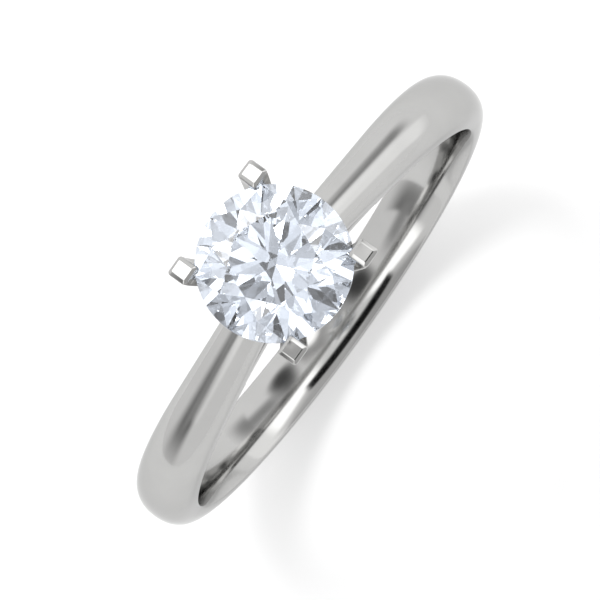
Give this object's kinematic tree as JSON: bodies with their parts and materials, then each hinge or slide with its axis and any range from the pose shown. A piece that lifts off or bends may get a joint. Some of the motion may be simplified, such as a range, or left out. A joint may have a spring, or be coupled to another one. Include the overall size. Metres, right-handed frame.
{
  "type": "engagement ring",
  "caption": "Solitaire finger ring: domed comfort-fit band, tapered cathedral shoulders, open claw head and a round brilliant-cut stone.",
  "frame": {"origin": "centre of the finger hole, halfway across the band", "axes": "+Y along the finger hole's axis, +Z from the hole's centre to the stone, X across the hoop"},
  "size_m": [0.0192, 0.0052, 0.0223],
  "materials": {
    "polished_metal": "mirror-polished white precious metal",
    "diamond": "polished facets, colourless"
  },
  "bodies": {
    "root": {"shank": "polished_metal", "bridge": "polished_metal", "head_base": "polished_metal", "lower_rail": "polished_metal", "upper_rail": "polished_metal", "claw_front_right": "polished_metal", "claw_front_left": "polished_metal", "claw_back_right": "polished_metal", "claw_back_left": "polished_metal", "diamond": "diamond"}
  },
  "joints": []
}
